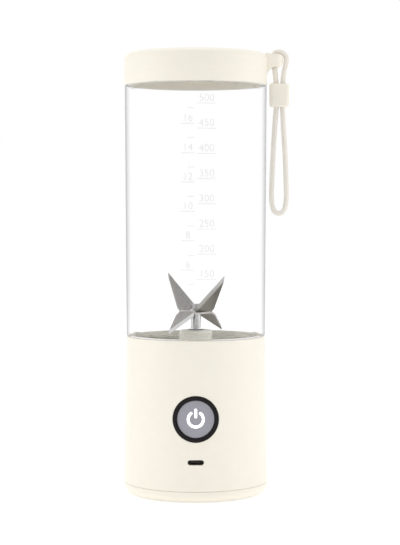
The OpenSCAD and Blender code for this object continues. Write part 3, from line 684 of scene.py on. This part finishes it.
def thread_lugs(name, root, height, first_angle, outward):
    """Four short thread lugs on a wall, each tilted to the thread's slope."""
    side = 1 if outward else -1
    tilt = math.atan(THREAD_LEAD / (2 * math.pi * root))
    foot, tip = root - side * LUG_ROOT, root + side * THREAD_DEPTH
    lugs = []
    for turn in range(4):
        lug = drawn(name, [(foot, -THREAD_BAND / 2), (tip, -THREAD_CREST / 2),
                           (tip, THREAD_CREST / 2), (foot, THREAD_BAND / 2)])
        bpy.ops.mesh.select_all(action="SELECT")
        bpy.ops.mesh.edge_face_add()
        bpy.ops.mesh.spin(steps=16, angle=-math.radians(LUG_ARC), center=(0, 0, 0), axis=(0, 0, 1))
        bpy.ops.mesh.select_all(action="SELECT")
        bpy.ops.mesh.remove_doubles(threshold=1e-7)
        bpy.ops.mesh.normals_make_consistent(inside=False)
        bpy.ops.object.mode_set(mode="OBJECT")
        lug.rotation_euler = (0, 0, -math.radians(LUG_ARC / 2))
        settle(lug)
        lug.rotation_euler = (tilt, 0, 0)
        settle(lug)
        lug.rotation_euler = (0, 0, math.radians(first_angle + 90 * turn))
        lug.location = (0, 0, height)
        lugs.append(settle(lug))
    pick(lugs[0])
    for lug in lugs[1:]:
        lug.select_set(True)
    bpy.ops.object.join()
    return lugs[0]


lower_in, upper_in = LOWER_NECK - NECK_WALL, UPPER_NECK - NECK_WALL
jar_outline = (
    arc(LOWER_NECK - JAR_ROUND, JAR_BOTTOM + JAR_ROUND, JAR_ROUND, -90, 0, 4)
    + [(LOWER_NECK, JAR_SHOULDER)]
    + arc(RIM_RADIUS - JAR_ROUND, JAR_SHOULDER + JAR_ROUND, JAR_ROUND, -90, 0, 4)
    + arc(JAR_TOP_RADIUS - JAR_TOP_ROUND, JAR_TOP_SHOULDER - JAR_TOP_ROUND, JAR_TOP_ROUND, 0, 90, 4)
    + [(UPPER_NECK, JAR_TOP_SHOULDER)]
    + arc(UPPER_NECK - JAR_ROUND, JAR_END - JAR_ROUND, JAR_ROUND, 0, 90, 4)
    + arc(upper_in + JAR_ROUND, JAR_END - JAR_ROUND, JAR_ROUND, 90, 180, 4)
    + [(upper_in, JAR_TOP_SHOULDER - SHOULDER_INNER),
       (JAR_TOP_RADIUS - JAR_WALL - JAR_ROUND, JAR_TOP_SHOULDER - SHOULDER_MIDDLE),
       (JAR_TOP_RADIUS - JAR_WALL, JAR_TOP_SHOULDER - SHOULDER_OUTER),
       (RIM_RADIUS - JAR_WALL, JAR_SHOULDER + SHOULDER_OUTER),
       (RIM_RADIUS - JAR_WALL - JAR_ROUND, JAR_SHOULDER + SHOULDER_MIDDLE),
       (lower_in, JAR_SHOULDER + SHOULDER_INNER)]
    + arc(lower_in + JAR_ROUND, JAR_BOTTOM + JAR_ROUND, JAR_ROUND, 180, 270, 4))
jar = turned("clear_jar", jar_outline)
cut(jar, thread_lugs("lower_lugs", LOWER_NECK, SOCKET_MALE_Z, SOCKET_MALE_START, True), "UNION")
cut(jar, thread_lugs("upper_lugs", UPPER_NECK, LID_MALE_Z, LID_MALE_START, True), "UNION")
smooth(jar, 32)
clear_plastic = new_material("clear_plastic", (1, 1, 1), 0.02, Transmission_Weight=1.0, IOR=1.002,
                             Coat_Weight=0.12, Coat_Roughness=0.03)
grained(clear_plastic, 40, 0.000002)
# Painted shade: the outer wall's colour runs from white to grey as the wall turns to a glancing slant,
# darkening the jar's edges.
glance = add_node(clear_plastic, "ShaderNodeLayerWeight", Blend=0.5)
painted_edge_shade = add_node(clear_plastic, "ShaderNodeValToRGB")
painted_edge_shade.color_ramp.elements[0].position = 0.62
painted_edge_shade.color_ramp.elements[0].color = (1, 1, 1, 1)
painted_edge_shade.color_ramp.elements[1].position = 1.0
painted_edge_shade.color_ramp.elements[1].color = (0.30, 0.30, 0.32, 1)
link(clear_plastic, glance, "Facing", painted_edge_shade, "Fac")
link(clear_plastic, painted_edge_shade, "Color", shader_of(clear_plastic), "Base Color")
finish_piece(jar, "jar", clear_plastic)

# The inner faces get a plain clear finish, without the painted edge shade.
clear_inside = new_material("clear_inside", (1, 1, 1), 0.02, Transmission_Weight=1.0, IOR=1.002)
grained(clear_inside, 40, 0.000002)
jar.data.materials.append(clear_inside)
middle_of_wall = RIM_RADIUS - JAR_WALL / 2
for face in jar.data.polygons:
    face.material_index = 1 if Vector(face.center[:2]).length < middle_of_wall else 0
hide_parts("jar")

# ---------------------------------------------------------------- measuring scale
# A faint raised scale moulded on the jar's front: millilitres on the right, each with a
# line under it, and ounces on the left, with a short line halfway between them.

PRINT_LIFT = 0.00006
LINE_HEIGHT = 0.0004
NUMBER_SIZE = 0.0054
ML_START, ML_STEP = 0.1151, 0.01292
OZ_START, OZ_STEP = 0.1199, 0.01503
ML_NUMBERS = range(150, 501, 50)
OZ_NUMBERS = range(6, 17, 2)
ML_LINE = (0.0007, 0.0105)
OZ_LINE = (-0.0076, -0.0006)
HALF_LINE = (-0.0042, -0.0006)
ML_MIDDLE = 0.0056
OZ_MIDDLE = -0.0041
NUMBER_RISE = 0.0011
HALF_LINES = (0.1124, 0.1272, 0.1425, 0.1577, 0.1727, 0.1878, 0.2031)


def jar_radius(height):
    """The jar's outer radius at a height."""
    share = (height - JAR_SHOULDER) / (JAR_TOP_SHOULDER - JAR_SHOULDER)
    return RIM_RADIUS + (JAR_TOP_RADIUS - RIM_RADIUS) * share


def scale_line(left, right, height):
    """A thin line that follows the jar's wall."""
    deselect()
    bpy.ops.mesh.primitive_cube_add(size=1, location=((left + right) / 2, 0, 0),
                                    scale=(right - left, LINE_HEIGHT, 2 * PRINT_LIFT))
    line = settle(bpy.context.object)
    bpy.ops.object.mode_set(mode="EDIT")
    bpy.ops.mesh.select_all(action="SELECT")
    bpy.ops.mesh.subdivide(number_cuts=7)
    bpy.ops.object.mode_set(mode="OBJECT")
    return lay_on_wall(line, height, jar_radius)


def scale_number(text, centre, height):
    """A number whose foot stands at a height, bent to the jar's wall."""
    deselect()
    bpy.ops.object.text_add()
    number = bpy.context.object
    number.data.body = text
    number.data.size = NUMBER_SIZE
    number.data.align_x = "CENTER"
    number.data.extrude = PRINT_LIFT
    number.data.resolution_u = 4
    bpy.ops.object.convert(target="MESH")
    number = bpy.context.object
    number.location = (centre, 0, 0)
    settle(number)
    bpy.ops.object.mode_set(mode="EDIT")
    bpy.ops.mesh.select_all(action="SELECT")
    bpy.ops.mesh.remove_doubles(threshold=1e-6)
    bpy.ops.mesh.normals_make_consistent(inside=False)
    bpy.ops.object.mode_set(mode="OBJECT")
    return lay_on_wall(number, height, jar_radius)


marks = []
for k, number in enumerate(ML_NUMBERS):
    height = ML_START + ML_STEP * k
    marks.append(scale_line(*ML_LINE, height))
    marks.append(scale_number(str(number), ML_MIDDLE, height + NUMBER_RISE))
for k, number in enumerate(OZ_NUMBERS):
    height = OZ_START + OZ_STEP * k
    marks.append(scale_line(*OZ_LINE, height))
    marks.append(scale_number(str(number), OZ_MIDDLE, height + NUMBER_RISE))
for height in HALF_LINES:
    marks.append(scale_line(*HALF_LINE, height))
pick(marks[0])
for mark in marks[1:]:
    mark.select_set(True)
bpy.ops.object.join()
scale_print = marks[0]
scale_print.name = "scale_print"
smooth(scale_print)
faint_print = new_material("faint_print", (0.86, 0.84, 0.85), 0.5)
grained(faint_print, 1500, 0.000004, spread=0.05)
finish_piece(scale_print, "jar", faint_print)

# ---------------------------------------------------------------- lid
# A screw lid with a soft top edge, thread lugs inside its skirt, and a lug on one side
# with a slot that the strap is threaded through. The lug grows out of a concave gusset.

LID_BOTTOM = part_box("lid")[0].z
LID_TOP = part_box("lid")[1].z
LID_RADIUS = 0.03825
LID_INSIDE = 0.03675
LID_CEILING = 0.2320
LID_ROUND = 0.0036
LID_LIP_ROUND = 0.0004
LID_LIP_CHAMFER = 0.0003
CEILING_ROUND = 0.0008
TOP_RINGS = (0.030, 0.020, 0.010, 0)
LID_FEMALE_Z = 0.22271
LUG_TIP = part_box("lid")[1].x
LUG_HALF = 0.0045
LUG_UNDER = 0.2272
LUG_DROP = 0.0006
LUG_TIP_ROUND = 0.0024
GUSSET = 0.0050
LUG_FLARE = 0.0054
LUG_ROOT_X = LID_INSIDE + 0.0004
LUG_PLAN_ROOT = 0.030
LUG_STEP = 0.0002
LUG_EDGE = 0.0006
LUG_CUT = (0.21, 0.24)
STRAP_SLOT_X = (0.0402, 0.0438)
STRAP_SLOT_HALF = 0.0024

lid_outline = (
    arc(LID_RADIUS - LID_LIP_ROUND, LID_BOTTOM + LID_LIP_ROUND, LID_LIP_ROUND, -90, 0, 3)
    + arc(LID_RADIUS - LID_ROUND, LID_TOP - LID_ROUND, LID_ROUND, 0, 90, 12)
    + [(radius, LID_TOP) for radius in TOP_RINGS]
    + [(radius, LID_CEILING) for radius in reversed(TOP_RINGS)]
    + arc(LID_INSIDE - CEILING_ROUND, LID_CEILING - CEILING_ROUND, CEILING_ROUND, 90, 0, 4)
    + [(LID_INSIDE, LID_BOTTOM + LID_LIP_CHAMFER), (LID_INSIDE + LID_LIP_CHAMFER, LID_BOTTOM)])
lid = turned("screw_lid", lid_outline)
cut(lid, thread_lugs("lid_lugs", LID_INSIDE, LID_FEMALE_Z, 0, False), "UNION")

lug_side = (
    [(LUG_ROOT_X, LID_TOP - LUG_STEP), (LID_RADIUS, LID_TOP - LUG_STEP)]
    + arc(LUG_TIP - LUG_TIP_ROUND, LID_TOP - LUG_DROP - LUG_TIP_ROUND, LUG_TIP_ROUND, 90, 0, 10)
    + arc(LUG_TIP - LUG_TIP_ROUND, LUG_UNDER + LUG_TIP_ROUND, LUG_TIP_ROUND, 0, -90, 10)
    + arc(LID_RADIUS + GUSSET, LUG_UNDER - GUSSET, GUSSET, 90, 180, 14)
    + [(LUG_ROOT_X, LUG_UNDER - GUSSET)])
lug = plate("strap_lug", lug_side, -LUG_HALF, LUG_HALF)
plan = ([(LUG_PLAN_ROOT, LUG_HALF + LUG_FLARE), (LUG_PLAN_ROOT, -LUG_HALF - LUG_FLARE)]
        + arc(LUG_TIP - LUG_HALF, -LUG_HALF - LUG_FLARE, LUG_FLARE, 180, 90, 12)
        + arc(LUG_TIP - LUG_HALF, 0, LUG_HALF, -90, 90, 20)
        + arc(LUG_TIP - LUG_HALF, LUG_HALF + LUG_FLARE, LUG_FLARE, -90, -180, 12))
cut(lug, upright("lug_plan", plan, *LUG_CUT), "INTERSECT")
slot_middle = sum(STRAP_SLOT_X) / 2
slot_width = STRAP_SLOT_X[1] - STRAP_SLOT_X[0]
slot_plan = [(slot_middle + y, x) for x, y in stadium(2 * STRAP_SLOT_HALF, slot_width, 0)]
cut(lug, upright("slot_tool", slot_plan, *LUG_CUT))
rounded(lug, LUG_EDGE, 45, 3)
cut(lid, lug, "UNION")
smooth(lid, 32)
finish_piece(lid, "lid", cream_plastic)
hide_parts("lid")

# ---------------------------------------------------------------- blades and their clamp
# Two blades stamped from stainless sheet, bent and stacked on the shaft over a spacer
# sleeve, and clamped by a washer and a six-sided nut. The faces keep a brushed grain.


def dress(material, *nodes):
    """Gives CAD pieces a finish."""
    for name in nodes:
        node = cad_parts[name]
        node.data.materials.clear()
        node.data.materials.append(material)


blade_steel = new_material("blade_steel", (0.40, 0.385, 0.375), 0.3, Metallic=1.0)
noise = grained(blade_steel, 900, 0.000012, spread=0.1, stretch=(1, 1, 9), detail=3)
tinted(blade_steel, noise, (0.34, 0.325, 0.315), (0.47, 0.455, 0.44))
# The ground edges are real, but their steel is set far lighter than the faces: partly a ground finish,
# partly a painted highlight.
ground_steel_painted_highlight = new_material("ground_steel_painted_highlight", (0.72, 0.72, 0.73), 0.5, Metallic=1.0)
grained(ground_steel_painted_highlight, 1600, 0.000008, spread=0.08, stretch=(8, 1, 1), detail=3)

SHEET = 0.0011
BEND_RELIEF = 0.0005
SHAFT_RADIUS = 0.0018
GROUND_WIDTH = 0.0017
EDGE_LEFT = 0.00012
FRONT_SHOULDER = 0.0022
BACK_SHOULDER = 0.0026
BLADE_BURR = 0.00009
SHAFT_GAP = 0.00002


def ground_wing(name, fold, reach, front, back, angle, ground_front):
    """One wing, ground to an edge on its underside along one side, and folded up along x = fold."""
    run = (reach - fold) / math.cos(angle)
    tip = Vector((run, 0, 0))
    wing = upright(name, [(0, front - BEND_RELIEF), (0, BEND_RELIEF - back), (BACK_SHOULDER, -back),
                          (run, 0), (FRONT_SHOULDER, front)], 0, SHEET)
    corner = Vector((FRONT_SHOULDER, front, 0)) if ground_front else Vector((BACK_SHOULDER, -back, 0))
    along = (tip - corner).normalized()
    inward = along.cross(Vector((0, 0, 1)))
    if inward.dot(Vector((run / 3, 0, 0)) - corner) < 0:
        inward = -inward
    top_edge = corner + Vector((0, 0, SHEET - EDGE_LEFT))
    slope = (corner + inward * GROUND_WIDTH - top_edge).normalized()
    facing = along.cross(slope)
    if facing.dot(corner - top_edge) < 0:
        facing = -facing
    pick(wing)
    bpy.ops.object.mode_set(mode="EDIT")
    bpy.ops.mesh.select_all(action="SELECT")
    bpy.ops.mesh.bisect(plane_co=top_edge, plane_no=facing, use_fill=True, clear_outer=True)
    bpy.ops.mesh.select_all(action="SELECT")
    bpy.ops.mesh.normals_make_consistent(inside=False)
    bpy.ops.object.mode_set(mode="OBJECT")
    # Faces of the ground edge take the lighter steel, partly a painted highlight.
    for face in wing.data.polygons:
        face.material_index = 1 if face.normal.dot(facing) > 0.98 else 0
    wing.data.materials.append(blade_steel)
    wing.data.materials.append(ground_steel_painted_highlight)
    wing.rotation_euler = (0, -angle, 0)
    wing.location = (fold, 0, 0)
    return settle(wing)


def stamped_blade(name, fold, reach, front, back, angle, ground_front, folded_down, azimuth):
    """A blade with two wings, on the plane between the two blades."""
    blade = upright(name, [(fold, front), (fold, -back), (-fold, -front), (-fold, back)], 0, SHEET)
    blade.data.materials.append(blade_steel)
    blade.data.materials.append(ground_steel_painted_highlight)
    for turn in (0, math.pi):
        wing = ground_wing("wing", fold, reach, front, back, math.radians(angle), ground_front)
        wing.rotation_euler = (0, 0, turn)
        cut(blade, settle(wing), "UNION")
    cut(blade, rod_tool(SHAFT_RADIUS + SHAFT_GAP, 0.01, (0, 0, 0), sides=48))
    rounded(blade, BLADE_BURR, 50, 1)
    blade.scale = (1, 1, -1 if folded_down else 1)
    settle(blade)
    blade.rotation_euler = (0, 0, math.radians(azimuth))
    blade.location = (0, 0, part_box("lower_blade")[1].z)
    settle(blade)
    bpy.ops.object.mode_set(mode="EDIT")
    bpy.ops.mesh.select_all(action="SELECT")
    bpy.ops.mesh.normals_make_consistent(inside=False)
    bpy.ops.object.mode_set(mode="OBJECT")
    smooth(blade, 20)
    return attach(blade, "rotor")


lower_blade = stamped_blade("folded_down_blade", 0.0080, 0.0230, 0.0059, 0.0053, 34, True, True, 230.5)
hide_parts("lower_blade")
upper_blade = stamped_blade("folded_up_blade", 0.0046, 0.0254, 0.0076, 0.0046, 43, False, False, 128)
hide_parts("upper_blade")

turned_steel = new_material("turned_steel", (0.55, 0.55, 0.555), 0.26, Metallic=1.0)
noise = grained(turned_steel, 700, 0.000006, spread=0.08, stretch=(1, 1, 30), detail=2)
tinted(turned_steel, noise, (0.50, 0.50, 0.505), (0.60, 0.60, 0.605))
dress(turned_steel, "drive_shaft", "blade_spacer", "blade_washer", "blade_nut")

# ---------------------------------------------------------------- jar socket and blade hub
# A beige moulded socket fills the base's mouth: a floor and a threaded collar that the
# jar screws into. The blade hub, a tall plain column, is screwed to its floor.

beige_plastic = new_material("beige_plastic", (0.95, 0.925, 0.85), 0.48, Specular_IOR_Level=0.4)
noise = grained(beige_plastic, 2200, 0.000008, spread=0.06)
tinted(beige_plastic, noise, (0.94, 0.915, 0.84), (0.96, 0.935, 0.86))
dress(beige_plastic, "jar_socket", "blade_hub")

# ---------------------------------------------------------------- seals and foot pad
# Soft rings seal the jar at both ends and the shaft in the hub. A soft round pad is
# glued under the base so that it stands still.

clear_silicone = new_material("clear_silicone", (0.80, 0.80, 0.77), 0.45, Transmission_Weight=0.35,
                              IOR=1.41)
grained(clear_silicone, 1400, 0.00001, spread=0.06)
dress(clear_silicone, "jar_gasket", "lid_seal")

foot_rubber = new_material("foot_rubber", (0.045, 0.045, 0.047), 0.75, Specular_IOR_Level=0.35)
noise = grained(foot_rubber, 1200, 0.00003, spread=0.08)
tinted(foot_rubber, noise, (0.038, 0.038, 0.040), (0.055, 0.055, 0.057))
dress(foot_rubber, "foot_pad")

seal_rubber = new_material("seal_rubber", (0.02, 0.02, 0.02), 0.6)
grained(seal_rubber, 1600, 0.00001, spread=0.08)
dress(seal_rubber, "shaft_seal")

# ---------------------------------------------------------------- motor
# A drawn steel can with a moulded end bell, two magnets, carbon brushes, sintered bushes
# and a wound steel armature with its commutator, all held to the hub by two screws.

plated_steel = new_material("plated_steel", (0.58, 0.58, 0.59), 0.3, Metallic=1.0)
noise = grained(plated_steel, 500, 0.000008, spread=0.08)
tinted(plated_steel, noise, (0.52, 0.52, 0.53), (0.62, 0.62, 0.63))
dress(plated_steel, "motor_can", "motor_screws", "cover_screws", "hub_screws", "board_screws",
      "armature_core")

black_plastic = new_material("black_plastic", (0.03, 0.03, 0.032), 0.5)
grained(black_plastic, 2000, 0.00001, spread=0.06)
dress(black_plastic, "motor_end_bell", "battery_cradle", "board_components")

ferrite = new_material("ferrite", (0.05, 0.05, 0.055), 0.65)
noise = grained(ferrite, 1800, 0.00002, spread=0.08)
tinted(ferrite, noise, (0.04, 0.04, 0.045), (0.07, 0.07, 0.075))
dress(ferrite, "motor_magnets")

carbon = new_material("carbon", (0.02, 0.02, 0.021), 0.55, Specular_IOR_Level=0.6)
grained(carbon, 2600, 0.000015, spread=0.08)
dress(carbon, "motor_brushes")

bronze = new_material("bronze", (0.55, 0.34, 0.15), 0.4, Metallic=1.0)
noise = grained(bronze, 3000, 0.000015, spread=0.08)
tinted(bronze, noise, (0.48, 0.29, 0.12), (0.60, 0.38, 0.18))
dress(bronze, "lower_bearing", "upper_bearing", "motor_front_bush", "motor_rear_bush", "commutator")

copper_wire = new_material("copper_wire", (0.58, 0.22, 0.09), 0.3, Metallic=1.0)
grained(copper_wire, 1500, 0.00004, spread=0.06, stretch=(1, 1, 12))
dress(copper_wire, "armature_windings")

# ---------------------------------------------------------------- cells, boards and leads
# Two wrapped cells in a cradle with welded strips, the main board behind the button, the
# charge board behind the port, and the leads between them.

cell_wrap = new_material("cell_wrap", (0.02, 0.10, 0.30), 0.32, Specular_IOR_Level=0.55)
grained(cell_wrap, 300, 0.00002, spread=0.06)
dress(cell_wrap, "battery_cells")

nickel = new_material("nickel", (0.60, 0.58, 0.54), 0.32, Metallic=1.0)
grained(nickel, 900, 0.000006, spread=0.08, stretch=(1, 6, 1))
dress(nickel, "battery_tabs", "tact_switch")

board_green = new_material("board_green", (0.010, 0.10, 0.04), 0.35, Specular_IOR_Level=0.55)
noise = grained(board_green, 1200, 0.000006, spread=0.05)
tinted(board_green, noise, (0.008, 0.085, 0.034), (0.014, 0.125, 0.052))
dress(board_green, "main_board", "charge_board")

lamp_resin = new_material("lamp_resin", (0.85, 0.85, 0.80), 0.3, Transmission_Weight=0.3)
grained(lamp_resin, 900, 0.000004)
dress(lamp_resin, "status_lights")

dress(cap_grey, "switch_plunger")

red_lead = new_material("red_lead", (0.40, 0.015, 0.012), 0.5)
grained(red_lead, 1500, 0.00001, spread=0.06)
dress(red_lead, "motor_leads")

black_lead = new_material("black_lead", (0.02, 0.02, 0.02), 0.5)
grained(black_lead, 1500, 0.00001, spread=0.06)
dress(black_lead, "battery_leads")
